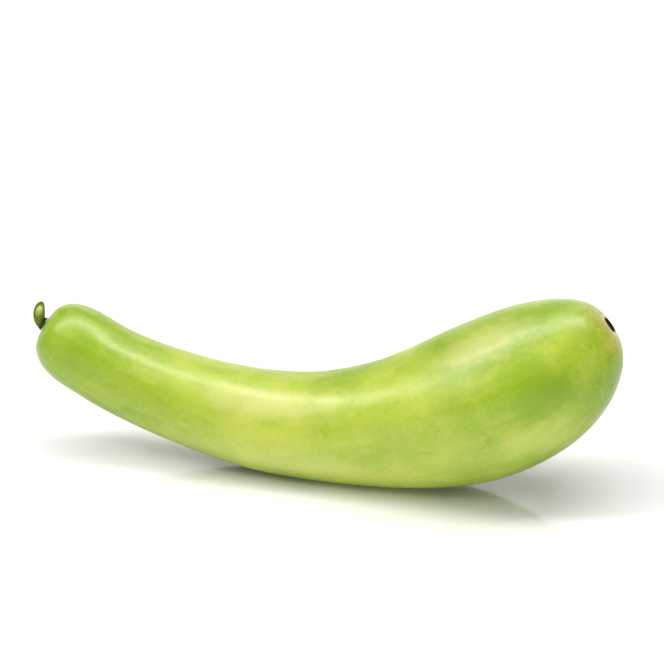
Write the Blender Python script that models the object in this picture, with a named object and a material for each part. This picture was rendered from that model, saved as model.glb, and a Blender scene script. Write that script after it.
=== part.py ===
"""A long bottle gourd with its cut stem, lying on a surface.

The thin neck points to -X and the fat blossom end to +X. The gourd is bent, so both ends stand clear of the
surface, and it rests on a small flat spot under its middle. Metres, +Z up, z = 0 is the surface, and the
origin is the middle of the whole outline as seen from above.
"""

import bmesh
import bpy
import numpy as np

# The gourd's middle line lies in one plane, which leans back, toward +Y
LENGTH = 0.345
LEAN = np.radians(12.0)

# Slope of the middle line in degrees, and radius in metres, at shares of the length from the stem
SLOPES = ((0.0, -30.5), (0.05, -31.5), (0.14, -21.8), (0.30, -11.8), (0.50, 4.0),
          (0.70, 19.8), (0.86, 35.4), (0.95, 41.3), (1.0, 39.2))
RADII = ((0.0, 0.0227), (0.08, 0.0231), (0.16, 0.0235), (0.30, 0.0260), (0.44, 0.0291),
         (0.58, 0.0339), (0.72, 0.0415), (0.86, 0.0411), (1.0, 0.0300))

# Near its end, the neck turns out of that plane to the front
NECK_TURN, NECK_TURN_LENGTH = np.radians(16.0), 0.045

# Each end closes in a dome of this length; the higher the power, the blunter the dome
NECK_DOME, NECK_POWER = 0.0314, 2.85
FAT_DOME, FAT_POWER = 0.0635, 3.0

# Faint lengthwise lobes, which drift round the gourd and back, and slow dents, with the turns in radians
LOBES, LOBE_DEPTH, LOBE_DRIFT, LOBE_WAVES = 5, 0.00030, 1.4, 5.0
DENT_DEPTH, DENT_SIDES, DENT_TWIST, DENT_WAVES, DENT_SWAY = 0.00022, 2, 11.0, 23.0, 3.0

# Both fade out over this share of the length at each end
END_FADE = 0.12

# The skin is pressed flat where the gourd rests, and the edge of that spot is rounded
FLAT_DEPTH = 0.0021
FLAT_EDGE = 0.0004

# Furrows in the skin that run out from between the ribs of the stem's foot
FURROW_DEPTH, FURROW_AT, FURROW_SPREAD = 0.00040, 0.0062, 0.0040

# The dimple with a low lip that holds the flower scar
DIMPLE_DEPTH, DIMPLE_FLOOR, DIMPLE_RADIUS = 0.0012, 0.0026, 0.0054
LIP_HEIGHT, LIP_RADIUS, LIP_WIDTH = 0.0003, 0.0062, 0.0013

# The stem leaves along the neck's end, bends upward at once and ends in a slanted cut
STEM_LENGTH, STEM_BEND_LENGTH = 0.0095, 0.0060
STEM_RADII = ((0.0, 0.0037), (0.12, 0.0033), (0.30, 0.0030), (0.65, 0.0031), (1.0, 0.0033))
STEM_TURN, STEM_TOWARD_FRONT = np.radians(62.0), np.radians(20.0)
STEM_RIBS, FOOT_RIB_DEPTH, RIB_DEPTH, CUT_RIB_DEPTH = 5, 0.20, 0.10, 0.03
RIBS_FADE_FROM, RIBS_FADE_OVER = 0.35, 0.60
CUT_SLANT, CUT_FACES = np.radians(50.0), np.radians(102.0)

# The face of the cut has a firm rim round a sunk middle: width of each ring, and how deep it is sunk
CUT_FACE = ((0.78, 0.0), (0.68, 0.0005), (0.35, 0.0005))

# The flower scar, a corky disc that fills the dimple: widths of the rings underneath, then width and depth
# of those of the crown, which has a round groove
SCAR_RADIUS, SCAR_EDGE, SCAR_CROWN = 0.0043, 0.0004, 0.0002
SCAR_UNDER = (0.3, 0.6, 0.85, 1.0)
SCAR_FACE = ((1.0, 0.0), (0.86, 0.0), (0.70, 0.00025), (0.50, 0.00005), (0.25, 0.0))

# Free space between pieces that touch
GAP = 0.0003

# Fineness of the meshes
SIDES, RING_STEP, END_STEP, END_GROWTH = 60, 0.0062, 0.0008, 0.22
STEM_SIDES, STEM_RINGS, STEM_FIRST = 40, 12, 0.06
SCAR_SIDES = 36
FINE, STEM_FINE = 6000, 400


def smooth_through(knots, at):
    """The natural cubic curve through the knots, read at the given places."""
    x, y = np.array(knots).T
    gap = np.diff(x)
    rise = np.diff(y) / gap
    rows, right = np.eye(len(x)), np.zeros(len(x))
    for i in range(1, len(x) - 1):
        rows[i, i - 1:i + 2] = gap[i - 1], 2 * (gap[i - 1] + gap[i]), gap[i]
        right[i] = 6 * (rise[i] - rise[i - 1])
    bend = np.linalg.solve(rows, right)
    k = np.clip(np.searchsorted(x, at) - 1, 0, len(x) - 2)
    before, after, width = at - x[k], x[k + 1] - at, gap[k]
    cubic = (bend[k] * after ** 3 + bend[k + 1] * before ** 3) / (6 * width)
    line = (y[k] / width - bend[k] * width / 6) * after
    return cubic + line + (y[k + 1] / width - bend[k + 1] * width / 6) * before


def ease(x):
    """Rises smoothly from 0 to 1 as x does, and stays there."""
    x = np.clip(x, 0.0, 1.0)
    return x * x * (3 - 2 * x)


def dome(distance, length, power):
    """Share of the full radius at a distance from the tip of a dome."""
    inside = np.clip(1 - distance / length, 0, 1)
    return (1 - inside ** power) ** (1 / power)


def dome_drop(radius, full_radius, length, power):
    """How far below its tip a dome reaches a given radius."""
    return length * (1 - (1 - (radius / full_radius) ** power) ** (1 / power))


def middle_line():
    """The middle line, read finely: share of the length, slope in the bend's plane, turn to the front, place
    along, up and in front of that plane, and the gourd's radius there."""
    u = np.linspace(0, 1, FINE + 1)
    share = u ** 3 / (u ** 3 + (1 - u) ** 3)
    slope = np.radians(smooth_through(SLOPES, share))
    turn = NECK_TURN * (1 - ease(share * LENGTH / NECK_TURN_LENGTH))
    step = np.diff(share) * LENGTH
    ways = (np.cos(slope) * np.cos(turn), np.sin(slope) * np.cos(turn), -np.sin(turn))
    along, up, front = (np.concatenate([[0], np.cumsum((way[1:] + way[:-1]) / 2 * step)]) for way in ways)
    radius = smooth_through(RADII, share)
    radius = radius * dome(share * LENGTH, NECK_DOME, NECK_POWER)
    radius = radius * dome((1 - share) * LENGTH, FAT_DOME, FAT_POWER)
    return share, slope, turn, along, up, front - front[-1], radius


def lean_back(along, up, front):
    """Points of the bend's plane, and in front of it, in space."""
    y = up * np.sin(LEAN) - front * np.cos(LEAN)
    z = up * np.cos(LEAN) + front * np.sin(LEAN)
    return np.stack([along, y, z], axis=-1)


def ring_places(total):
    """Distances over the skin from tip to tip, closer together at both ends."""
    half = [END_STEP]
    while half[-1] < total / 2:
        half.append(half[-1] + min(RING_STEP, END_STEP + END_GROWTH * half[-1]))
    half = np.array(half) * (total / 2 / half[-1])
    return np.concatenate([half, total - half[-2::-1]])


def relief(share, angle, radius):
    """Radius with the lobes and dents, which fade out at both ends."""
    fade = ease(share / END_FADE) * ease((1 - share) / END_FADE)
    lobes = LOBE_DEPTH * np.cos(LOBES * angle + LOBE_DRIFT * np.sin(LOBE_WAVES * share))
    dents = np.sin(DENT_SIDES * angle + DENT_TWIST * share)
    dents = DENT_DEPTH * dents * np.sin(DENT_WAVES * share + DENT_SWAY * np.cos(angle))
    return radius + fade * (lobes + dents)


def furrows(radius, angle):
    """Depth of the furrows at a distance from the neck's tip."""
    spread = np.exp(-((radius - FURROW_AT) / FURROW_SPREAD) ** 2)
    return FURROW_DEPTH * spread * (0.5 - 0.5 * np.cos(STEM_RIBS * angle))


def dimple(radius):
    """Depth of the flower end's dimple at a distance from the tip, less its lip."""
    floor = DIMPLE_DEPTH * (1 - ease((radius - DIMPLE_FLOOR) / (DIMPLE_RADIUS - DIMPLE_FLOOR)))
    return floor - LIP_HEIGHT * np.exp(-((radius - LIP_RADIUS) / LIP_WIDTH) ** 2)


def press_flat(z):
    """Heights above the surface, with everything below it pressed up to z = 0."""
    rounded = (z + FLAT_EDGE) ** 2 / (4 * FLAT_EDGE)
    return np.where(z < -FLAT_EDGE, 0.0, np.where(z < FLAT_EDGE, rounded, z))


def fruit_points(line):
    """The neck's tip, the rings of the gourd's skin from there to the fat end, and that end's tip."""
    share, slope, _, along, up, front, radius = line
    walk = np.concatenate([[0], np.cumsum(np.hypot(np.diff(share) * LENGTH, np.diff(radius)))])
    places = ring_places(walk[-1])
    s, h, t, a, u, f, r = (np.interp(places, walk, column)[:, None] for column in line)
    angle = np.linspace(0, 2 * np.pi, SIDES, endpoint=False)[None, :]
    out = relief(s, angle, r)
    top, side = out * np.cos(angle), out * np.sin(angle)
    sink = np.where(s < 0.5, furrows(r, angle), -dimple(r))
    ahead = np.cos(t) * sink + np.sin(t) * side
    p = a - np.sin(h) * top + np.cos(h) * ahead
    v = u + np.cos(h) * top + np.sin(h) * ahead
    rings = lean_back(p, v, f + np.cos(t) * side - np.sin(t) * sink)
    neck_tip = lean_back(along[0], up[0], front[0])
    floor = dimple(0.0)
    fat_tip = lean_back(along[-1] - np.cos(slope[-1]) * floor, up[-1] - np.sin(slope[-1]) * floor, 0.0)
    return neck_tip, rings, fat_tip


def stem_points(line):
    """The middle of the stem's underside, its rings from there to the cut, and the middle of the cut."""
    slope, turn, *tip = (column[0] for column in line[1:6])
    fine = np.linspace(0, 1, STEM_FINE)
    longest = 2 * STEM_LENGTH
    bend = ease(fine * longest / STEM_BEND_LENGTH)
    lift = np.pi + slope - STEM_TURN * bend
    tilt = turn + (STEM_TOWARD_FRONT - turn) * bend
    heading = np.stack([np.cos(lift) * np.cos(tilt), np.sin(lift) * np.cos(tilt), np.sin(tilt)], axis=-1)
    steps = (heading[1:] + heading[:-1]) / 2 * longest / (len(fine) - 1)
    path = np.concatenate([[tip], tip + np.cumsum(steps, axis=0)])
    angle = np.linspace(0, 2 * np.pi, STEM_SIDES, endpoint=False)
    reach = STEM_LENGTH - np.tan(CUT_SLANT) * STEM_RADII[-1][1] * np.cos(angle - CUT_FACES)

    def ribbed(share):
        """Radius all round the stem, with ribs that stand out most at the foot and least at the cut."""
        depth = RIB_DEPTH + (FOOT_RIB_DEPTH - RIB_DEPTH) * (1 - share) ** 4
        depth = depth + (CUT_RIB_DEPTH - depth) * ease((share - RIBS_FADE_FROM) / RIBS_FADE_OVER)
        radius = smooth_through(STEM_RADII, np.array([share]))[0]
        return radius * (1 + depth * np.cos(STEM_RIBS * angle))

    def ring(share, width, sunk=0.0):
        """One ring: its share of the way to the cut, its width of the full section, how deep it is sunk."""
        radius = ribbed(share) * width
        middle_reach = STEM_LENGTH + (reach - STEM_LENGTH) * width
        at = (GAP + share * middle_reach - sunk) / longest
        centre = np.stack([np.interp(at, fine, path[:, k]) for k in range(3)], axis=-1)
        ahead = np.stack([np.interp(at, fine, heading[:, k]) for k in range(3)], axis=-1)
        front = np.array([0.0, 0.0, 1.0]) - ahead * ahead[:, 2:3]
        front = front / np.linalg.norm(front, axis=1)[:, None]
        top = np.cross(ahead, front)
        return centre + radius[:, None] * (top * np.cos(angle)[:, None] + front * np.sin(angle)[:, None])

    def foot(width):
        """A ring of the underside, which follows the neck's dome."""
        radius = ribbed(0.0) * width
        out = GAP - dome_drop(radius, RADII[0][1], NECK_DOME, NECK_POWER)
        top = np.array([-np.sin(slope), np.cos(slope), 0.0])
        front = np.array([np.cos(slope) * np.sin(turn), np.sin(slope) * np.sin(turn), np.cos(turn)])
        flat = top * np.cos(angle)[:, None] + front * np.sin(angle)[:, None]
        return tip + radius[:, None] * flat + out[:, None] * heading[0]

    rings = [foot(0.5), foot(1.0)]
    rings += [ring(share, 1.0) for share in np.linspace(STEM_FIRST, 1.0, STEM_RINGS)]
    rings += [ring(1.0, width, sunk) for width, sunk in CUT_FACE]
    under = foot(0.0).mean(axis=0)
    end = ring(1.0, 0.0, CUT_FACE[-1][1]).mean(axis=0)
    return tuple(lean_back(*np.moveaxis(points, -1, 0)) for points in (under, np.array(rings), end))


def scar_points(line):
    """The middle of the flower scar's underside, its rings from there up, and the crown's middle."""
    slope, _, along, up = (column[-1] for column in line[1:5])
    angle = np.linspace(0, 2 * np.pi, SCAR_SIDES, endpoint=False)

    def ring(width, height):
        """One ring: its share of the scar's radius, and its height above the gourd's tip."""
        radius = SCAR_RADIUS * width
        drop = dome_drop(radius, RADII[-1][1], FAT_DOME, FAT_POWER)
        p = along + (height - drop) * np.cos(slope) - np.sin(slope) * radius * np.cos(angle)
        v = up + (height - drop) * np.sin(slope) + np.cos(slope) * radius * np.cos(angle)
        return lean_back(p, v, radius * np.sin(angle))

    rings = [ring(width, GAP - dimple(width * SCAR_RADIUS)) for width in SCAR_UNDER]
    rings += [ring(width, SCAR_EDGE + SCAR_CROWN * (1 - width ** 2) - groove) for width, groove in SCAR_FACE]
    under = ring(0.0, GAP - dimple(0.0)).mean(axis=0)
    return under, np.array(rings), ring(0.0, SCAR_EDGE + SCAR_CROWN).mean(axis=0)


def material(name, colour, roughness):
    """A plain Principled material."""
    made = bpy.data.materials.new(name)
    made.use_nodes = True
    shader = made.node_tree.nodes["Principled BSDF"]
    shader.inputs["Base Color"].default_value = (*colour, 1.0)
    shader.inputs["Roughness"].default_value = roughness
    shader.inputs["Metallic"].default_value = 0.0
    return made


def skin_over(name, first, rings, last, made):
    """One closed object: a skin over the rings, closed by a fan of triangles at each end."""
    bm = bmesh.new()
    start, end = bm.verts.new(first), bm.verts.new(last)
    rows = [[bm.verts.new(point) for point in ring] for ring in rings]
    count = len(rows[0])
    for j in range(count):
        k = (j + 1) % count
        bm.faces.new((start, rows[0][k], rows[0][j]))
        bm.faces.new((end, rows[-1][j], rows[-1][k]))
        for low, high in zip(rows, rows[1:]):
            bm.faces.new((low[j], low[k], high[k], high[j]))
    bmesh.ops.recalc_face_normals(bm, faces=bm.faces)
    bmesh.ops.triangulate(bm, faces=bm.faces)
    mesh = bpy.data.meshes.new(name)
    bm.to_mesh(mesh)
    bm.free()
    mesh.shade_smooth()
    mesh.materials.append(made)
    obj = bpy.data.objects.new(name, mesh)
    bpy.context.scene.collection.objects.link(obj)
    return obj


def main():
    for obj in list(bpy.data.objects):
        bpy.data.objects.remove(obj, do_unlink=True)

    line = middle_line()
    shapes = {"fruit": fruit_points(line), "stem": stem_points(line), "blossom_scar": scar_points(line)}
    looks = {"fruit": material("skin", (0.36, 0.46, 0.04), 0.36),
             "stem": material("stem", (0.13, 0.15, 0.03), 0.70),
             "blossom_scar": material("scar", (0.06, 0.045, 0.02), 0.80)}

    # The whole is set down with its flat spot on z = 0, its outline centred on the origin
    every = np.concatenate([np.reshape(part, (-1, 3)) for shape in shapes.values() for part in shape])
    low, high = every.min(axis=0), every.max(axis=0)
    shift = np.array([-(low[0] + high[0]) / 2, -(low[1] + high[1]) / 2, -low[2] - FLAT_DEPTH])
    for name, (first, rings, last) in shapes.items():
        rings = rings + shift
        if name == "fruit":
            rings[..., 2] = press_flat(rings[..., 2])
        skin_over(name, first + shift, rings, last + shift, looks[name])


main()
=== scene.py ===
"""The looks of a long bottle gourd with its cut stem, lying on a pale floor under soft studio light.

The gourd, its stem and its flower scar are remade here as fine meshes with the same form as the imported
solids, and take their place. Metres, +Z up, z = 0 is the floor.
"""

import bpy
import numpy as np
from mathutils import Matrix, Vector, noise


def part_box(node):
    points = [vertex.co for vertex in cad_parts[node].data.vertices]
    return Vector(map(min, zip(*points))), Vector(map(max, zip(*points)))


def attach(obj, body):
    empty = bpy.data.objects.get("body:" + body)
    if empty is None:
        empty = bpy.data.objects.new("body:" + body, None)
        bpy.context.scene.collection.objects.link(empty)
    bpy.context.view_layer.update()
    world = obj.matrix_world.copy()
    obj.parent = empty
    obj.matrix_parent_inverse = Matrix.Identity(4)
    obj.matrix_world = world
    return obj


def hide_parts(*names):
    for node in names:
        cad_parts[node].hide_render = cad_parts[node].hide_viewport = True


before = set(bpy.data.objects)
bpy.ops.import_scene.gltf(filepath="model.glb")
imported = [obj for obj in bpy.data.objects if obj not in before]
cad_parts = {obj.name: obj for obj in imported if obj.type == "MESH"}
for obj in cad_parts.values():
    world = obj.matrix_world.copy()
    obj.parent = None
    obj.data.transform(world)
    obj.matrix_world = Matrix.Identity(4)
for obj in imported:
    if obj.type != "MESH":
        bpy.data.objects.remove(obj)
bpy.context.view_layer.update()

# The gourd's middle line lies in one plane, which leans back, toward +Y
LENGTH = 0.345
LEAN = np.radians(12.0)

# Slope of the middle line in degrees, and radius, at shares of the length from the stem
SLOPES = ((0.0, -30.5), (0.05, -31.5), (0.14, -21.8), (0.30, -11.8), (0.50, 4.0),
          (0.70, 19.8), (0.86, 35.4), (0.95, 41.3), (1.0, 39.2))
RADII = ((0.0, 0.0227), (0.08, 0.0231), (0.16, 0.0235), (0.30, 0.0260), (0.44, 0.0291),
         (0.58, 0.0339), (0.72, 0.0415), (0.86, 0.0411), (1.0, 0.0300))

# Near its end, the neck turns out of that plane to the front
NECK_TURN, NECK_TURN_LENGTH = np.radians(16.0), 0.045

# Each end closes in a dome of this length; the higher the power, the blunter the dome
NECK_DOME, NECK_POWER = 0.0314, 2.85
FAT_DOME, FAT_POWER = 0.0635, 3.0

# Lobes, slow dents, and the finer unevenness that breaks up the highlights: (wavelength, height)
LOBES, LOBE_DEPTH, LOBE_DRIFT, LOBE_WAVES = 5, 0.00030, 1.4, 5.0
DENT_DEPTH, DENT_SIDES, DENT_TWIST, DENT_WAVES, DENT_SWAY = 0.00022, 2, 11.0, 23.0, 3.0
END_FADE = 0.12
UNEVEN = ((0.021, 0.00016), (0.0085, 0.00005), (0.0032, 0.000012))
CALM_NECK, CALM_FAT = 0.010, 0.014

# The flat spot that the gourd rests on
FLAT_EDGE = 0.0004

# Furrows round the stem's foot, and the dimple and lip round the flower scar
FURROW_DEPTH, FURROW_AT, FURROW_SPREAD = 0.00040, 0.0062, 0.0040
DIMPLE_DEPTH, DIMPLE_FLOOR, DIMPLE_RADIUS = 0.0012, 0.0026, 0.0054
LIP_HEIGHT, LIP_RADIUS, LIP_WIDTH = 0.0003, 0.0062, 0.0013

# The stem
STEM_LENGTH, STEM_BEND_LENGTH = 0.0095, 0.0060
STEM_RADII = ((0.0, 0.0037), (0.12, 0.0033), (0.30, 0.0030), (0.65, 0.0031), (1.0, 0.0033))
STEM_TURN, STEM_TOWARD_FRONT = np.radians(62.0), np.radians(20.0)
STEM_RIBS, FOOT_RIB_DEPTH, RIB_DEPTH, CUT_RIB_DEPTH = 5, 0.20, 0.10, 0.03
RIBS_FADE_FROM, RIBS_FADE_OVER = 0.35, 0.60
CUT_SLANT, CUT_FACES = np.radians(50.0), np.radians(102.0)

# The face of the cut has a firm rim round a sunk middle: width of each ring, and how deep it is sunk
CUT_FACE = ((0.97, 0.0), (0.90, 0.0), (0.84, 0.00004), (0.78, 0.00012), (0.73, 0.00034),
            (0.68, 0.0005), (0.52, 0.0005), (0.35, 0.0005), (0.18, 0.0006))

# Fine stripes and knobs of its bark, as shares of its radius, which fade in above the foot
STRIPES, STRIPE_DEPTH, STRIPE_DRIFT, STRIPE_WAVES = 27, 0.022, 1.5, 6
KNOB_HEIGHT, BARK_FADE = 0.02, 0.2

# How far the ragged edge of its cut goes up and down
RAGGED_CUT = 0.00010

# The flower scar
SCAR_RADIUS, SCAR_EDGE, SCAR_CROWN = 0.0043, 0.0004, 0.0002
WRINKLES, WRINKLE_DEPTH, WRINKLE_DRIFT = 17, 0.00009, 0.9

# Its outline is uneven by a few waves: (how many go round, height as a share of the radius, phase)
SCAR_WAVES = ((3, 0.020, 0.6), (8, 0.012, 0.0), (19, 0.008, 2.0))

# Its ring groove, middle stub and rounded edge, at shares of the radius
GROOVE_DEPTH, GROOVE_AT, GROOVE_WIDTH = 0.00025, 0.70, 0.09
STUB_HEIGHT, STUB_TOP, STUB_SLOPE = 0.00035, 0.10, 0.14
EDGE_DROP, EDGE_WIDTH = 0.00016, 0.07

# Clear space between one piece and the next
GAP = 0.0003

# Fineness of the meshes
LINE_STEPS, STEM_STEPS = 12000, 800
SKIN_SIDES, RING_STEP, END_STEP, END_GROWTH = 200, 0.0011, 0.0003, 0.10
STEM_SIDES, STEM_RINGS, STEM_FIRST = 135, 60, 0.04
SCAR_SIDES, CROWN_RINGS = 119, 30
FOOT_WIDTHS, UNDER_WIDTHS = (0.5, 0.9, 1.0), (0.3, 0.6, 0.85, 0.97)

# Colours of the skin, as linear red, green and blue
BASE_GREEN, BASE_LIGHT = (0.190, 0.312, 0.006), (0.375, 0.455, 0.045)
# Cream and pale are partly the skin's own paler tints, and in some patches painted highlight along the top
# and painted floor-bounce light along the underside
CREAM_SKIN_AND_HIGHLIGHT, PALE_SKIN_AND_PAINTED_LIGHT = (0.56, 0.53, 0.20), (0.47, 0.52, 0.14)
# The deep green is partly deeper green skin and partly painted shade on the front of the fat end, where the
# top light gives out
GREEN, DEEP_GREEN_AND_SHADE = (0.165, 0.288, 0.001), (0.160, 0.275, 0.001)
WEATHERED, FLECK = (0.520, 0.420, 0.130), (0.52, 0.58, 0.20)
ROUND_SCAR, SCAR_LIP, UNDER_SCAR = (0.560, 0.430, 0.060), (0.68, 0.62, 0.22), (0.16, 0.13, 0.05)
ROUND_STEM = (0.520, 0.620, 0.170)

# Colours of the stem, its cut, the scar and the floor
BARK_DARK, BARK_PALE = (0.060, 0.078, 0.012), (0.200, 0.228, 0.046)
# The near-black of the foot is partly the stem's own dark base and partly painted shade where it joins the
# gourd
BARK_SPECK, DARK_FOOT_AND_SHADE = (0.270, 0.205, 0.075), (0.024, 0.038, 0.001)
FRESH_DARK, FRESH_PALE = (0.330, 0.385, 0.115), (0.440, 0.495, 0.185)
PITH_DARK, PITH_PALE = (0.160, 0.210, 0.026), (0.240, 0.305, 0.052)
CUT_RIM = (0.092, 0.120, 0.017)
CORK_DARK, CORK_PALE, CORK_EDGE = (0.006, 0.005, 0.001), (0.022, 0.016, 0.004), (0.150, 0.115, 0.045)
FLOOR_DARK, FLOOR_PALE = (0.84, 0.84, 0.84), (0.87, 0.87, 0.865)

# Large soft patches of the skin: middle, reach round the gourd and along it, colour, strength. The middle
# is given as height above the middle line, distance to the front of it, and distance along it from the stem
# Besides the skin's own tints, some patches are painted light or shade, as noted. The first is partly cream
# skin and partly painted highlight on the top front of the bend
PATCHES = (((0.013, 0.025, 0.150), 0.012, 0.062, CREAM_SKIN_AND_HIGHLIGHT, 0.55),
           ((0.003, 0.022, 0.030), 0.018, 0.034, GREEN, 0.60),
           ((-0.006, 0.039, 0.235), 0.020, 0.040, GREEN, 0.38),
           # Partly deeper green skin, partly painted shade on the front of the fat end
           ((-0.010, 0.036, 0.308), 0.022, 0.028, DEEP_GREEN_AND_SHADE, 0.82),
           # This patch and the next are partly pale skin and partly painted highlight along the top of the
           # fat end
           ((0.030, 0.028, 0.286), 0.014, 0.050, CREAM_SKIN_AND_HIGHLIGHT, 0.50),
           ((0.015, 0.040, 0.264), 0.011, 0.030, PALE_SKIN_AND_PAINTED_LIGHT, 0.38),
           # This patch and the next are partly pale skin and partly painted floor-bounce light along the
           # underside
           ((-0.018, 0.026, 0.160), 0.012, 0.070, PALE_SKIN_AND_PAINTED_LIGHT, 0.45),
           ((-0.028, 0.030, 0.280), 0.014, 0.045, PALE_SKIN_AND_PAINTED_LIGHT, 0.28),
           ((0.012, -0.024, 0.060), 0.016, 0.050, GREEN, 0.50),
           ((0.010, -0.036, 0.215), 0.020, 0.050, PALE_SKIN_AND_PAINTED_LIGHT, 0.60),
           ((0.000, -0.036, 0.300), 0.022, 0.030, GREEN, 0.60))

# How far noise carries the edges of the patches to and fro
WANDER = 0.016

# The floor is a square sheet, which turns up into a wall behind the gourd
FLOOR_SIZE, FLOOR_CELLS = 8.0, 160
WALL_FROM, WALL_CURVE = 1.5, 0.6

# Strength of the light from all round
SURROUND = 0.12

# The camera looks at a point near the gourd's middle; its sensor and lens are in millimetres
CAMERA_AZIMUTH, CAMERA_ELEVATION, CAMERA_DISTANCE = np.radians(15.0), np.radians(20.0), 1.4
AIM_FROM_MIDDLE, AIM_HEIGHT = 0.0064, 0.0823
SENSOR, LENS = 36.0, 139.35


def smooth_through(knots, at):
    """The natural cubic curve through the knots, read at the given places."""
    x, y = np.array(knots).T
    gap = np.diff(x)
    rise = np.diff(y) / gap
    rows, right = np.eye(len(x)), np.zeros(len(x))
    for i in range(1, len(x) - 1):
        rows[i, i - 1:i + 2] = gap[i - 1], 2 * (gap[i - 1] + gap[i]), gap[i]
        right[i] = 6 * (rise[i] - rise[i - 1])
    bend = np.linalg.solve(rows, right)
    k = np.clip(np.searchsorted(x, at) - 1, 0, len(x) - 2)
    before, after, width = at - x[k], x[k + 1] - at, gap[k]
    cubic = (bend[k] * after ** 3 + bend[k + 1] * before ** 3) / (6 * width)
    line = (y[k] / width - bend[k] * width / 6) * after
    return cubic + line + (y[k + 1] / width - bend[k + 1] * width / 6) * before


def ease(x):
    """Rises smoothly from 0 to 1 as x does, and stays there."""
    x = np.clip(x, 0.0, 1.0)
    return x * x * (3 - 2 * x)


def dome(distance, length, power):
    """Share of the full radius at a distance from the tip of a dome."""
    inside = np.clip(1 - distance / length, 0, 1)
    return (1 - inside ** power) ** (1 / power)


def dome_drop(radius, full_radius, length, power):
    """How far below its tip a dome reaches a given radius."""
    return length * (1 - (1 - (radius / full_radius) ** power) ** (1 / power))


def middle_line():
    """The middle line, read finely: share of the length, slope in the bend's plane, turn to the front,
    place along, up and in front of that plane, and the gourd's radius there.
    """
    u = np.linspace(0, 1, LINE_STEPS + 1)
    share = u ** 3 / (u ** 3 + (1 - u) ** 3)
    slope = np.radians(smooth_through(SLOPES, share))
    turn = NECK_TURN * (1 - ease(share * LENGTH / NECK_TURN_LENGTH))
    step = np.diff(share) * LENGTH
    ways = (np.cos(slope) * np.cos(turn), np.sin(slope) * np.cos(turn), -np.sin(turn))
    along, up, front = (np.concatenate([[0], np.cumsum((way[1:] + way[:-1]) / 2 * step)]) for way in ways)
    radius = smooth_through(RADII, share)
    radius = radius * dome(share * LENGTH, NECK_DOME, NECK_POWER)
    radius = radius * dome((1 - share) * LENGTH, FAT_DOME, FAT_POWER)
    return share, slope, turn, along, up, front - front[-1], radius


def lean_back(along, up, front):
    """Points of the bend's plane, and in front of it, in space."""
    y = up * np.sin(LEAN) - front * np.cos(LEAN)
    z = up * np.cos(LEAN) + front * np.sin(LEAN)
    return np.stack([along, y, z], axis=-1)


def ring_places(total):
    """Distances over the skin from tip to tip, closer together at both ends."""
    half = [END_STEP]
    while half[-1] < total / 2:
        half.append(half[-1] + min(RING_STEP, END_STEP + END_GROWTH * half[-1]))
    half = np.array(half) * (total / 2 / half[-1])
    return np.concatenate([half, total - half[-2::-1]])


def relief(share, angle, radius):
    """Radius with the lobes and dents, which fade out at both ends."""
    fade = ease(share / END_FADE) * ease((1 - share) / END_FADE)
    lobes = LOBE_DEPTH * np.cos(LOBES * angle + LOBE_DRIFT * np.sin(LOBE_WAVES * share))
    dents = np.sin(DENT_SIDES * angle + DENT_TWIST * share)
    dents = DENT_DEPTH * dents * np.sin(DENT_WAVES * share + DENT_SWAY * np.cos(angle))
    return radius + fade * (lobes + dents)


def furrows(radius, angle):
    """Depth of the furrows at a distance from the neck's tip."""
    spread = np.exp(-((radius - FURROW_AT) / FURROW_SPREAD) ** 2)
    return FURROW_DEPTH * spread * (0.5 - 0.5 * np.cos(STEM_RIBS * angle))


def dimple(radius):
    """Depth of the flower end's dimple at a distance from the tip, less its lip."""
    floor = DIMPLE_DEPTH * (1 - ease((radius - DIMPLE_FLOOR) / (DIMPLE_RADIUS - DIMPLE_FLOOR)))
    return floor - LIP_HEIGHT * np.exp(-((radius - LIP_RADIUS) / LIP_WIDTH) ** 2)


def press_flat(z):
    """Heights above the surface, with everything below it pressed up to z = 0."""
    rounded = (z + FLAT_EDGE) ** 2 / (4 * FLAT_EDGE)
    return np.where(z < -FLAT_EDGE, 0.0, np.where(z < FLAT_EDGE, rounded, z))


def uneven(points, layers, seed):
    """Smooth noise at each point, summed over layers of (wavelength, height)."""
    flat = points.reshape(-1, 3)
    sums = np.zeros(len(flat))
    for k, (wavelength, height) in enumerate(layers):
        shift = Vector((seed, 7.3 * k, 3.1 * seed))
        sums += [height * noise.noise(Vector(p) / wavelength + shift) for p in flat]
    return sums.reshape(points.shape[:-1])


def skin_over(name, first, rings, last, values):
    """A closed mesh object over the rings, with a fan at each end and named values at its points.

    Each value is (for the first tip, for the rings, for the last tip); a value has one or three numbers.
    """
    count = rings.shape[1]
    points = np.concatenate([[first], rings.reshape(-1, 3), [last]])
    j = np.arange(count)
    k = (j + 1) % count
    row = 1 + count * np.arange(len(rings) - 1)[:, None]
    sides = np.stack([row + j, row + k, row + count + k, row + count + j], axis=-1).reshape(-1, 4)
    end = len(points) - 1
    base = end - count
    start_fan = np.stack([np.zeros_like(j), 1 + k, 1 + j], axis=-1)
    end_fan = np.stack([np.full_like(j, end), base + j, base + k], axis=-1)
    mesh = bpy.data.meshes.new(name)
    mesh.from_pydata(points.tolist(), [], sides.tolist() + start_fan.tolist() + end_fan.tolist())
    for key, (at_first, at_rings, at_last) in values.items():
        at_rings = np.asarray(at_rings, float)
        wide = at_rings.ndim == 3
        numbers = np.concatenate([np.reshape(at_first, -1), at_rings.reshape(-1), np.reshape(at_last, -1)])
        made = mesh.attributes.new(key, "FLOAT_VECTOR" if wide else "FLOAT", "POINT")
        made.data.foreach_set("vector" if wide else "value", numbers.astype(np.float32))
    mesh.update()
    mesh.shade_smooth()
    obj = bpy.data.objects.new(name, mesh)
    bpy.context.scene.collection.objects.link(obj)
    return obj


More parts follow.
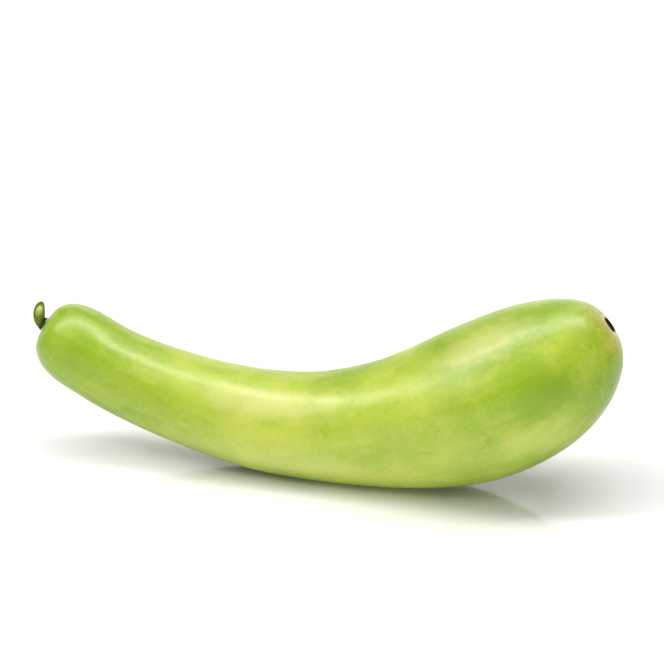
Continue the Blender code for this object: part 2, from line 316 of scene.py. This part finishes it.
def make_skin(line):
    """The gourd's skin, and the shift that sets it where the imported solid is."""
    share, slope, _, along, up, front, radius = line
    walk = np.concatenate([[0], np.cumsum(np.hypot(np.diff(share) * LENGTH, np.diff(radius)))])
    places = ring_places(walk[-1])
    s, h, t, a, u, f, r = (np.interp(places, walk, column)[:, None] for column in line)
    angle = np.linspace(0, 2 * np.pi, SKIN_SIDES, endpoint=False)[None, :]
    grown = np.stack([r * np.cos(angle), r * np.sin(angle), s * LENGTH + 0 * angle], axis=-1)
    calm = (ease(places / CALM_NECK) * ease((walk[-1] - places) / CALM_FAT))[:, None]
    out = relief(s, angle, r) + calm * uneven(grown, UNEVEN, 2.0)
    top, side = out * np.cos(angle), out * np.sin(angle)
    sink = np.where(s < 0.5, furrows(r, angle), -dimple(r))
    ahead = np.cos(t) * sink + np.sin(t) * side
    p = a - np.sin(h) * top + np.cos(h) * ahead
    v = u + np.cos(h) * top + np.sin(h) * ahead
    rings = lean_back(p, v, f + np.cos(t) * side - np.sin(t) * sink)
    floor = dimple(0.0)
    first = lean_back(along[0], up[0], front[0])
    last = lean_back(along[-1] - np.cos(slope[-1]) * floor, up[-1] - np.sin(slope[-1]) * floor, 0.0)

    low, high = (np.array(corner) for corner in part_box("fruit"))
    mine_low, mine_high = rings.min(axis=(0, 1)), rings.max(axis=(0, 1))
    shift = (low + high - mine_low - mine_high) / 2
    shift[2] = high[2] - mine_high[2]
    rings = rings + shift
    rings[..., 2] = press_flat(rings[..., 2])
    from_stem = places[:, None] + 0 * angle
    values = {"grown": ((0, 0, 0), grown, (0, 0, LENGTH)),
              "from_stem": (0.0, from_stem, walk[-1]),
              "from_scar": (walk[-1], walk[-1] - from_stem, 0.0)}
    return skin_over("gourd_skin", first + shift, rings, last + shift, values), shift


def make_stem(line, shift):
    """The cut stem: ribbed, finely striped along its length, with a dished cut."""
    slope, turn, *tip = (column[0] for column in line[1:6])
    fine = np.linspace(0, 1, STEM_STEPS)
    longest = 2 * STEM_LENGTH
    bend = ease(fine * longest / STEM_BEND_LENGTH)
    lift = np.pi + slope - STEM_TURN * bend
    tilt = turn + (STEM_TOWARD_FRONT - turn) * bend
    heading = np.stack([np.cos(lift) * np.cos(tilt), np.sin(lift) * np.cos(tilt), np.sin(tilt)], axis=-1)
    steps = (heading[1:] + heading[:-1]) / 2 * longest / (len(fine) - 1)
    path = np.concatenate([[tip], tip + np.cumsum(steps, axis=0)])
    angle = np.linspace(0, 2 * np.pi, STEM_SIDES, endpoint=False)
    ragged = RAGGED_CUT * np.sin(9 * angle + 1.0) * np.sin(4 * angle)
    reach = STEM_LENGTH - np.tan(CUT_SLANT) * STEM_RADII[-1][1] * np.cos(angle - CUT_FACES) + ragged

    def ribbed(share):
        """Radius all round the stem, with ribs that stand out most at the foot and least at the cut, fine
        stripes, and knobs.
        """
        depth = RIB_DEPTH + (FOOT_RIB_DEPTH - RIB_DEPTH) * (1 - share) ** 4
        depth = depth + (CUT_RIB_DEPTH - depth) * ease((share - RIBS_FADE_FROM) / RIBS_FADE_OVER)
        radius = smooth_through(STEM_RADII, np.array([share]))[0]
        stripes = STRIPE_DEPTH * np.cos(STRIPES * angle + STRIPE_DRIFT * np.sin(STRIPE_WAVES * share))
        knobs = KNOB_HEIGHT * np.sin(7 * angle + 21 * share) * np.sin(17 * share + 2 * angle)
        bark = ease(share / BARK_FADE) * (stripes + knobs)
        return radius * (1 + depth * np.cos(STEM_RIBS * angle) + bark)

    def ring(share, width, sunk=0.0):
        """One ring: its share of the way to the cut, its width of the full section, how deep it is sunk."""
        radius = ribbed(share) * width
        middle_reach = STEM_LENGTH + (reach - STEM_LENGTH) * width
        at = (GAP + share * middle_reach - sunk) / longest
        centre = np.stack([np.interp(at, fine, path[:, k]) for k in range(3)], axis=-1)
        ahead = np.stack([np.interp(at, fine, heading[:, k]) for k in range(3)], axis=-1)
        front = np.array([0.0, 0.0, 1.0]) - ahead * ahead[:, 2:3]
        front = front / np.linalg.norm(front, axis=1)[:, None]
        top = np.cross(ahead, front)
        return centre + radius[:, None] * (top * np.cos(angle)[:, None] + front * np.sin(angle)[:, None])

    def foot(width):
        """A ring of the underside, which follows the neck's dome."""
        radius = ribbed(0.0) * width
        out = GAP - dome_drop(radius, RADII[0][1], NECK_DOME, NECK_POWER)
        top = np.array([-np.sin(slope), np.cos(slope), 0.0])
        front = np.array([np.cos(slope) * np.sin(turn), np.sin(slope) * np.sin(turn), np.cos(turn)])
        flat = top * np.cos(angle)[:, None] + front * np.sin(angle)[:, None]
        return tip + radius[:, None] * flat + out[:, None] * heading[0]

    shares = np.linspace(STEM_FIRST, 1.0, STEM_RINGS)
    rings = [foot(width) for width in FOOT_WIDTHS] + [ring(share, 1.0) for share in shares]
    rings += [ring(1.0, width, sunk) for width, sunk in CUT_FACE]
    under, end = foot(0.0).mean(axis=0), ring(1.0, 0.0, CUT_FACE[-1][1]).mean(axis=0)
    rings, under, end = (lean_back(*np.moveaxis(x, -1, 0)) for x in (np.array(rings), under, end))

    on_cut, below_cut = np.ones(len(CUT_FACE)), np.ones(len(FOOT_WIDTHS) + STEM_RINGS)
    up_stem = np.concatenate([np.zeros(len(FOOT_WIDTHS)), shares, on_cut])[:, None] + 0 * angle
    across = np.concatenate([below_cut, [width for width, _ in CUT_FACE]])[:, None] + 0 * angle
    cut = np.concatenate([0 * below_cut, on_cut])[:, None] + 0 * angle
    grown = np.stack([across * np.cos(angle), across * np.sin(angle), up_stem], axis=-1)
    values = {"grown": ((0, 0, 0), grown, (0, 0, 1)), "cut": (0.0, cut, 1.0), "across": (1.0, across, 0.0)}
    stalk = skin_over("stalk", under + shift, rings + shift, end + shift, values)
    stalk.data.flip_normals()
    return stalk


def make_scar(line, shift):
    """The flower scar: a wrinkled corky disc with an uneven edge, a ring groove and a small middle stub."""
    slope, _, along, up = (column[-1] for column in line[1:5])
    angle = np.linspace(0, 2 * np.pi, SCAR_SIDES, endpoint=False)
    frayed = sum(height * np.sin(waves * angle + start) for waves, height, start in SCAR_WAVES)
    folds = np.cos(WRINKLES * angle + WRINKLE_DRIFT * np.sin(3 * angle))

    def ring(width, height):
        """One ring at a share of the disc's radius and a height above the gourd's tip."""
        radius = SCAR_RADIUS * width * (1 + frayed * width ** 2)
        drop = dome_drop(radius, RADII[-1][1], FAT_DOME, FAT_POWER)
        p = along + (height - drop) * np.cos(slope) - np.sin(slope) * radius * np.cos(angle)
        v = up + (height - drop) * np.sin(slope) + np.cos(slope) * radius * np.cos(angle)
        return lean_back(p, v, radius * np.sin(angle))

    under = [(width, GAP - dimple(width * SCAR_RADIUS)) for width in UNDER_WIDTHS]
    crown = []
    for width in np.concatenate([[1.0], np.linspace(0.985, 0.1, CROWN_RINGS)]):
        groove = GROOVE_DEPTH * np.exp(-((width - GROOVE_AT) / GROOVE_WIDTH) ** 2)
        stub = STUB_HEIGHT * (1 - ease((width - STUB_TOP) / STUB_SLOPE))
        wrinkles = WRINKLE_DEPTH * folds * ease((width - 0.15) / 0.2) * ease((1.02 - width) / 0.1)
        rounded = EDGE_DROP * ease((width - 1 + EDGE_WIDTH) / EDGE_WIDTH)
        domed = SCAR_EDGE + SCAR_CROWN * (1 - width ** 2)
        crown.append((width, domed - groove + stub + wrinkles - rounded))
    rings = np.array([ring(*place) for place in under + crown])
    widths = np.array([width for width, _ in under + crown])[:, None] + 0 * angle
    first = ring(0.0, GAP - dimple(0.0)).mean(axis=0)
    last = ring(0.0, SCAR_EDGE + SCAR_CROWN + STUB_HEIGHT).mean(axis=0)
    grown = np.stack([widths * np.cos(angle), widths * np.sin(angle), 0 * widths], axis=-1)
    values = {"grown": ((0, 0, 0), grown, (0, 0, 0)), "across": (0.0, widths, 0.0)}
    return skin_over("flower_scar", first + shift, rings + shift, last + shift, values)


class Shader:
    """A material's node tree, with short calls that add a node and return its result."""

    def __init__(self, name):
        self.material = bpy.data.materials.new(name)
        self.material.use_nodes = True
        self.tree = self.material.node_tree
        self.surface = self.tree.nodes["Principled BSDF"]

    def add(self, kind, output, inputs, **settings):
        """A new node's output, once its inputs and settings are set."""
        made = self.tree.nodes.new(kind)
        for key, value in settings.items():
            setattr(made, key, value)
        for key, value in inputs.items():
            self.put(made.inputs[key], value)
        return made.outputs[output]

    def put(self, socket, value):
        """Links another node's output to the socket, or sets a constant there."""
        if isinstance(value, bpy.types.NodeSocket):
            self.tree.links.new(value, socket)
        else:
            socket.default_value = value

    def point(self, name):
        """A vector stored at the mesh's points."""
        return self.add("ShaderNodeAttribute", "Vector", {}, attribute_name=name)

    def value(self, name):
        """A number stored at the mesh's points."""
        return self.add("ShaderNodeAttribute", "Fac", {}, attribute_name=name)

    def stretched(self, vector, scale):
        """The vector, scaled along each axis."""
        return self.add("ShaderNodeVectorMath", "Vector", {0: vector, 1: scale}, operation="MULTIPLY")

    def noise(self, vector, scale, detail=2.0, rough=0.5, warp=0.0):
        """Smooth noise, mostly from 0.3 to 0.7."""
        inputs = {"Vector": vector, "Scale": scale, "Detail": detail, "Roughness": rough}
        return self.add("ShaderNodeTexNoise", 0, {**inputs, "Distortion": warp})

    def cells(self, vector, scale):
        """Distance from the nearest of many scattered points."""
        return self.add("ShaderNodeTexVoronoi", "Distance", {"Vector": vector, "Scale": scale})

    def patch(self, vector, middle, round_reach, long_reach, strength):
        """The strength in the middle of a soft patch, which fades to 0 a tenth past its reach."""
        middle = tuple(x + WANDER / 2 for x in middle)
        away = self.add("ShaderNodeVectorMath", "Vector", {0: vector, 1: middle}, operation="SUBTRACT")
        away = self.stretched(away, (1 / round_reach, 1 / round_reach, 1 / long_reach))
        away = self.add("ShaderNodeVectorMath", "Value", {0: away}, operation="LENGTH")
        return self.span(away, 1.1, 0.1, 0.0, strength)

    def math(self, operation, a, b):
        """The two numbers, put together by the operation."""
        return self.add("ShaderNodeMath", 0, {0: a, 1: b}, operation=operation)

    def times(self, a, b):
        """The product of two numbers."""
        return self.math("MULTIPLY", a, b)

    def span(self, value, low, high, to_low=0.0, to_high=1.0):
        """The value's smooth way from low to high, as a number from to_low to to_high."""
        inputs = {"Value": value, "From Min": low, "From Max": high, "To Min": to_low, "To Max": to_high}
        return self.add("ShaderNodeMapRange", 0, inputs, interpolation_type="SMOOTHSTEP")

    def mix(self, share, a, b):
        """Colour a turning to colour b."""
        a, b = (x if isinstance(x, bpy.types.NodeSocket) else (*x, 1.0) for x in (a, b))
        return self.add("ShaderNodeMix", 2, {0: share, 6: a, 7: b}, data_type="RGBA")

    def bump(self, height, distance, strength):
        """The surface's normal over a relief of this height, times the distance."""
        inputs = {"Height": height, "Distance": distance, "Strength": strength}
        return self.add("ShaderNodeBump", "Normal", inputs)

    def finish(self, colour, roughness, normal, **constants):
        """Sets the surface; constants are named with _ for a space."""
        self.put(self.surface.inputs["Base Color"], colour)
        self.put(self.surface.inputs["Roughness"], roughness)
        self.put(self.surface.inputs["Normal"], normal)
        for key, value in constants.items():
            self.surface.inputs[key.replace("_", " ")].default_value = value
        return self.material


def skin_look():
    """Waxy light green skin: patches, streaks along the gourd, fine mottling and pale flecks."""
    s = Shader("gourd_skin")
    grown = s.point("grown")
    from_stem, from_scar = s.value("from_stem"), s.value("from_scar")
    along = s.stretched(grown, (1.0, 1.0, 0.13))

    patches = s.noise(grown, 24.0, 2.0, 0.45, 0.3)
    green_neck = s.span(from_stem, 0.125, 0.055, 0.0, 0.16)
    green_end = s.span(from_stem, 0.235, 0.315, 0.0, 0.20)
    patches = s.math("SUBTRACT", s.math("SUBTRACT", patches, green_neck), green_end)
    blotches = s.noise(s.stretched(grown, (1.0, 1.0, 0.4)), 105.0, 2.0, 0.5, 0.4)
    streaks = s.noise(along, 210.0, 3.0, 0.6, 0.2)
    broad_streaks = s.noise(along, 60.0, 2.0, 0.5, 0.2)
    mottle = s.noise(grown, 330.0, 4.0, 0.65)
    grain = s.noise(grown, 1500.0, 2.0, 0.6)

    # Layers over the base: the noise, its values where the layer starts and is full, strength, colour
    layers = ((broad_streaks, 0.42, 0.72, 0.35, (0.410, 0.465, 0.060)),
              (blotches, 0.48, 0.28, 0.34, (0.175, 0.310, 0.003)),
              (blotches, 0.52, 0.74, 0.34, (0.450, 0.490, 0.095)),
              (streaks, 0.50, 0.74, 0.16, (0.440, 0.480, 0.085)),
              (mottle, 0.46, 0.30, 0.29, (0.185, 0.305, 0.005)),
              (mottle, 0.52, 0.70, 0.29, (0.450, 0.490, 0.080)))
    colour = s.mix(s.span(patches, 0.22, 0.60), BASE_GREEN, BASE_LIGHT)
    for pattern, start, full, strength, tint in layers:
        colour = s.mix(s.span(pattern, start, full, 0.0, strength), colour, tint)

    # Large soft patches with wandering edges
    wander = s.add("ShaderNodeTexNoise", 1, {"Vector": grown, "Scale": 70.0, "Detail": 3.0})
    wander = s.stretched(wander, (WANDER, WANDER, WANDER))
    wandering = s.add("ShaderNodeVectorMath", "Vector", {0: wander, 1: grown}, operation="ADD")
    # Large soft patches with wandering edges: the skin's own tints, and in places painted highlight,
    # painted floor-bounce light and painted shade
    for middle, round_reach, long_reach, tint, strength in PATCHES:
        colour = s.mix(s.patch(wandering, middle, round_reach, long_reach, strength), colour, tint)

    # Faint tan weathering, on the paler skin
    tan = s.span(s.noise(grown, 180.0, 3.0, 0.6), 0.50, 0.68)
    tan = s.times(tan, s.span(patches, 0.30, 0.55))
    colour = s.mix(s.times(tan, 0.22), colour, WEATHERED)

    # Pale flecks, scattered unevenly
    fleck = s.span(s.cells(grown, 420.0), 0.20, 0.08)
    fleck = s.times(fleck, s.span(s.noise(grown, 95.0), 0.45, 0.62, 0.0, 0.22))
    colour = s.mix(fleck, colour, FLECK)

    # Yellow and tan round the flower scar, with a pale lip; a paler, yellower shoulder round the stem
    near_scar = s.times(s.span(from_scar, 0.026, 0.008), s.span(mottle, 0.40, 0.58, 0.20, 1.0))
    colour = s.mix(s.times(near_scar, 0.66), colour, ROUND_SCAR)
    lip = s.times(s.span(from_scar, 0.0084, 0.0066), s.span(from_scar, 0.0048, 0.0058))
    lip = s.times(lip, s.span(mottle, 0.38, 0.55, 0.25, 0.85))
    colour = s.mix(lip, colour, SCAR_LIP)
    colour = s.mix(s.span(from_scar, 0.0055, 0.0042), colour, UNDER_SCAR)
    near_stem = s.times(s.span(from_stem, 0.018, 0.004), s.span(streaks, 0.35, 0.60, 0.4, 1.0))
    colour = s.mix(s.times(near_stem, 0.55), colour, ROUND_STEM)

    height = s.math("ADD", s.times(mottle, 0.6), s.times(grain, 0.25))
    height = s.math("ADD", height, s.times(streaks, 0.5))
    normal = s.bump(height, 0.00012, 0.8)
    roughness = s.span(s.noise(grown, 70.0, 4.0, 0.6), 0.30, 0.70, 0.31, 0.43)
    return s.finish(colour, roughness, normal, Subsurface_Weight=0.18, Subsurface_Scale=0.006,
                    Subsurface_Radius=(0.5, 0.8, 0.15), Specular_IOR_Level=0.55, IOR=1.45,
                    Coat_Weight=0.24, Coat_Roughness=0.27)


def stem_look():
    """Dried olive stem with paler fibres, tan specks, a dark foot that is partly painted shade, and a pale
    cut with an olive rim.
    """
    s = Shader("stalk")
    grown = s.point("grown")
    cut, across = s.value("cut"), s.value("across")
    inner, front, up_stem = (s.add("ShaderNodeSeparateXYZ", axis, {0: grown}) for axis in "XYZ")
    fibres = s.noise(s.stretched(grown, (7.0, 7.0, 1.4)), 1.6, 4.0, 0.6)
    specks = s.noise(grown, 9.0, 3.0, 0.65)

    bark = s.mix(s.span(fibres, 0.38, 0.62), BARK_DARK, BARK_PALE)
    bark = s.mix(s.span(specks, 0.56, 0.70, 0.0, 0.5), bark, BARK_SPECK)
    # Darker toward the foot, reaching further up on one side: partly the stem's own dark base, partly
    # painted shade at the join and on the stem's shaded side
    foot = s.math("SUBTRACT", up_stem, s.times(inner, 0.20))
    bark = s.mix(s.span(foot, 0.62, 0.16, 0.0, 0.95), bark, DARK_FOOT_AND_SHADE)
    grain = s.span(s.noise(grown, 5.0, 4.0, 0.6), 0.35, 0.65)
    fresh = s.mix(grain, FRESH_DARK, FRESH_PALE)
    pith = s.mix(grain, PITH_DARK, PITH_PALE)
    pith = s.mix(s.span(front, 0.35, -0.40), pith, fresh)
    pith = s.mix(s.span(across, 0.46, 0.76), pith, CUT_RIM)
    colour = s.mix(s.span(cut, 0.3, 0.7), bark, pith)

    height = s.math("ADD", fibres, s.times(specks, 0.5))
    roughness = s.span(specks, 0.3, 0.7, 0.80, 0.95)
    return s.finish(colour, roughness, s.bump(height, 0.0002, 0.9), Specular_IOR_Level=0.05)


def scar_look():
    """Nearly black, mottled corky disc with a paler brown edge."""
    s = Shader("flower_scar")
    grown, across = s.point("grown"), s.value("across")
    cork = s.noise(grown, 6.0, 5.0, 0.7)
    colour = s.mix(s.span(cork, 0.35, 0.65), CORK_DARK, CORK_PALE)
    colour = s.mix(s.span(across, 0.93, 1.0, 0.0, 0.6), colour, CORK_EDGE)
    roughness = s.span(cork, 0.3, 0.7, 0.70, 0.92)
    return s.finish(colour, roughness, s.bump(cork, 0.0003, 0.9), Specular_IOR_Level=0.06)


def floor_look():
    """Smooth, glossy white board."""
    s = Shader("floor")
    place = s.add("ShaderNodeTexCoord", "Object", {})
    cloud = s.noise(place, 3.0, 2.0)
    colour = s.mix(s.span(cloud, 0.3, 0.7), FLOOR_DARK, FLOOR_PALE)
    roughness = s.span(cloud, 0.3, 0.7, 0.04, 0.06)
    normal = s.bump(s.noise(place, 400.0, 2.0), 0.00002, 0.3)
    return s.finish(colour, roughness, normal, IOR=1.9, Specular_IOR_Level=0.5)


def make_floor():
    """A large white floor, which far behind the gourd sweeps up smoothly into a wall."""
    side = np.linspace(-FLOOR_SIZE / 2, FLOOR_SIZE / 2, FLOOR_CELLS + 1)
    x, past = np.meshgrid(side, side - WALL_FROM)
    turned = np.clip(past / WALL_CURVE, 0, np.pi / 2)
    beyond = np.clip(past - WALL_CURVE * np.pi / 2, 0, None)
    y = WALL_FROM + np.minimum(past, 0) + WALL_CURVE * np.sin(turned)
    z = WALL_CURVE * (1 - np.cos(turned)) + beyond
    points = np.stack([x, y, z], axis=-1).reshape(-1, 3)
    row = len(side)
    cell = np.arange(FLOOR_CELLS)
    corner = (cell[:, None] * row + cell[None, :]).reshape(-1)
    faces = np.stack([corner, corner + 1, corner + row + 1, corner + row], axis=-1)
    mesh = bpy.data.meshes.new("floor")
    mesh.from_pydata(points.tolist(), [], faces.tolist())
    mesh.shade_smooth()
    obj = bpy.data.objects.new("floor", mesh)
    obj.data.materials.append(floor_look())
    bpy.context.scene.collection.objects.link(obj)


def soft_light(name, place, target, size, power, colour=(1.0, 1.0, 1.0), spread=180.0, mirrored=True):
    """A rectangular soft box that faces its target; a grid narrows its beam to the spread in degrees.

    One that isn't mirrored leaves no highlight on glossy skin.
    """
    lamp = bpy.data.lights.new(name, "AREA")
    lamp.shape = "RECTANGLE"
    lamp.size, lamp.size_y = size
    lamp.energy = power
    lamp.color = colour
    lamp.spread = np.radians(spread)
    obj = bpy.data.objects.new(name, lamp)
    obj.location = place
    obj.rotation_euler = (Vector(place) - Vector(target)).to_track_quat("Z", "Y").to_euler()
    obj.visible_glossy = mirrored
    bpy.context.scene.collection.objects.link(obj)


def make_light():
    """Soft boxes overhead and in front, gridded ones that whiten only the floor and the wall, and a dim
    surround.
    """
    middle = (0.0, 0.0, 0.05)
    soft_light("overhead", (-0.35, -0.10, 1.25), (-0.40, 0.02, 0.05), (2.4, 0.38), 23.5, (1.0, 0.99, 0.965))
    soft_light("front", (-0.6, -0.95, 1.30), middle, (2.4, 0.8), 15.5, mirrored=False)
    soft_light("low_front", (0.70, -1.2, 0.11), (0.05, 0.0, 0.04), (1.8, 0.12), 13.0, mirrored=False)
    soft_light("floor_behind", (0.0, 0.9, 1.5), (0.0, 1.0, 0.0), (3.5, 0.7), 8.0, spread=80.0)
    soft_light("floor_before", (0.0, -1.35, 1.4), (0.0, -1.35, 0.0), (3.5, 0.6), 80.0, spread=80.0)
    soft_light("wall", (0.0, 0.9, 2.1), (0.0, 2.1, 0.8), (4.0, 0.6), 13.0, spread=90.0)
    world = bpy.data.worlds.new("surround")
    world.use_nodes = True
    background = world.node_tree.nodes["Background"]
    background.inputs["Color"].default_value = (1.0, 1.0, 1.0, 1.0)
    background.inputs["Strength"].default_value = SURROUND
    bpy.context.scene.world = world
    bpy.context.scene.view_settings.view_transform = "Standard"


def make_camera():
    """The camera, above the gourd's front and a little to the right."""
    low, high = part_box("fruit")
    aim = Vector(((low.x + high.x) / 2 + AIM_FROM_MIDDLE, (low.y + high.y) / 2, AIM_HEIGHT))
    level = np.cos(CAMERA_ELEVATION)
    right, before = np.sin(CAMERA_AZIMUTH) * level, -np.cos(CAMERA_AZIMUTH) * level
    back = Vector((right, before, np.sin(CAMERA_ELEVATION)))
    camera = bpy.data.cameras.new("camera")
    camera.sensor_width = SENSOR
    camera.lens = LENS
    obj = bpy.data.objects.new("camera", camera)
    obj.location = aim + CAMERA_DISTANCE * back
    obj.rotation_euler = back.to_track_quat("Z", "Y").to_euler()
    bpy.context.scene.collection.objects.link(obj)
    bpy.context.scene.camera = obj


def place_piece(piece, look, node):
    """Gives a piece its material, ties it to the object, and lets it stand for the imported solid."""
    piece.data.materials.append(look)
    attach(piece, "root")
    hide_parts(node)


make_camera()
gourd_line = middle_line()
gourd_skin, to_frame = make_skin(gourd_line)
place_piece(gourd_skin, skin_look(), "fruit")
place_piece(make_stem(gourd_line, to_frame), stem_look(), "stem")
place_piece(make_scar(gourd_line, to_frame), scar_look(), "blossom_scar")
make_floor()
make_light()
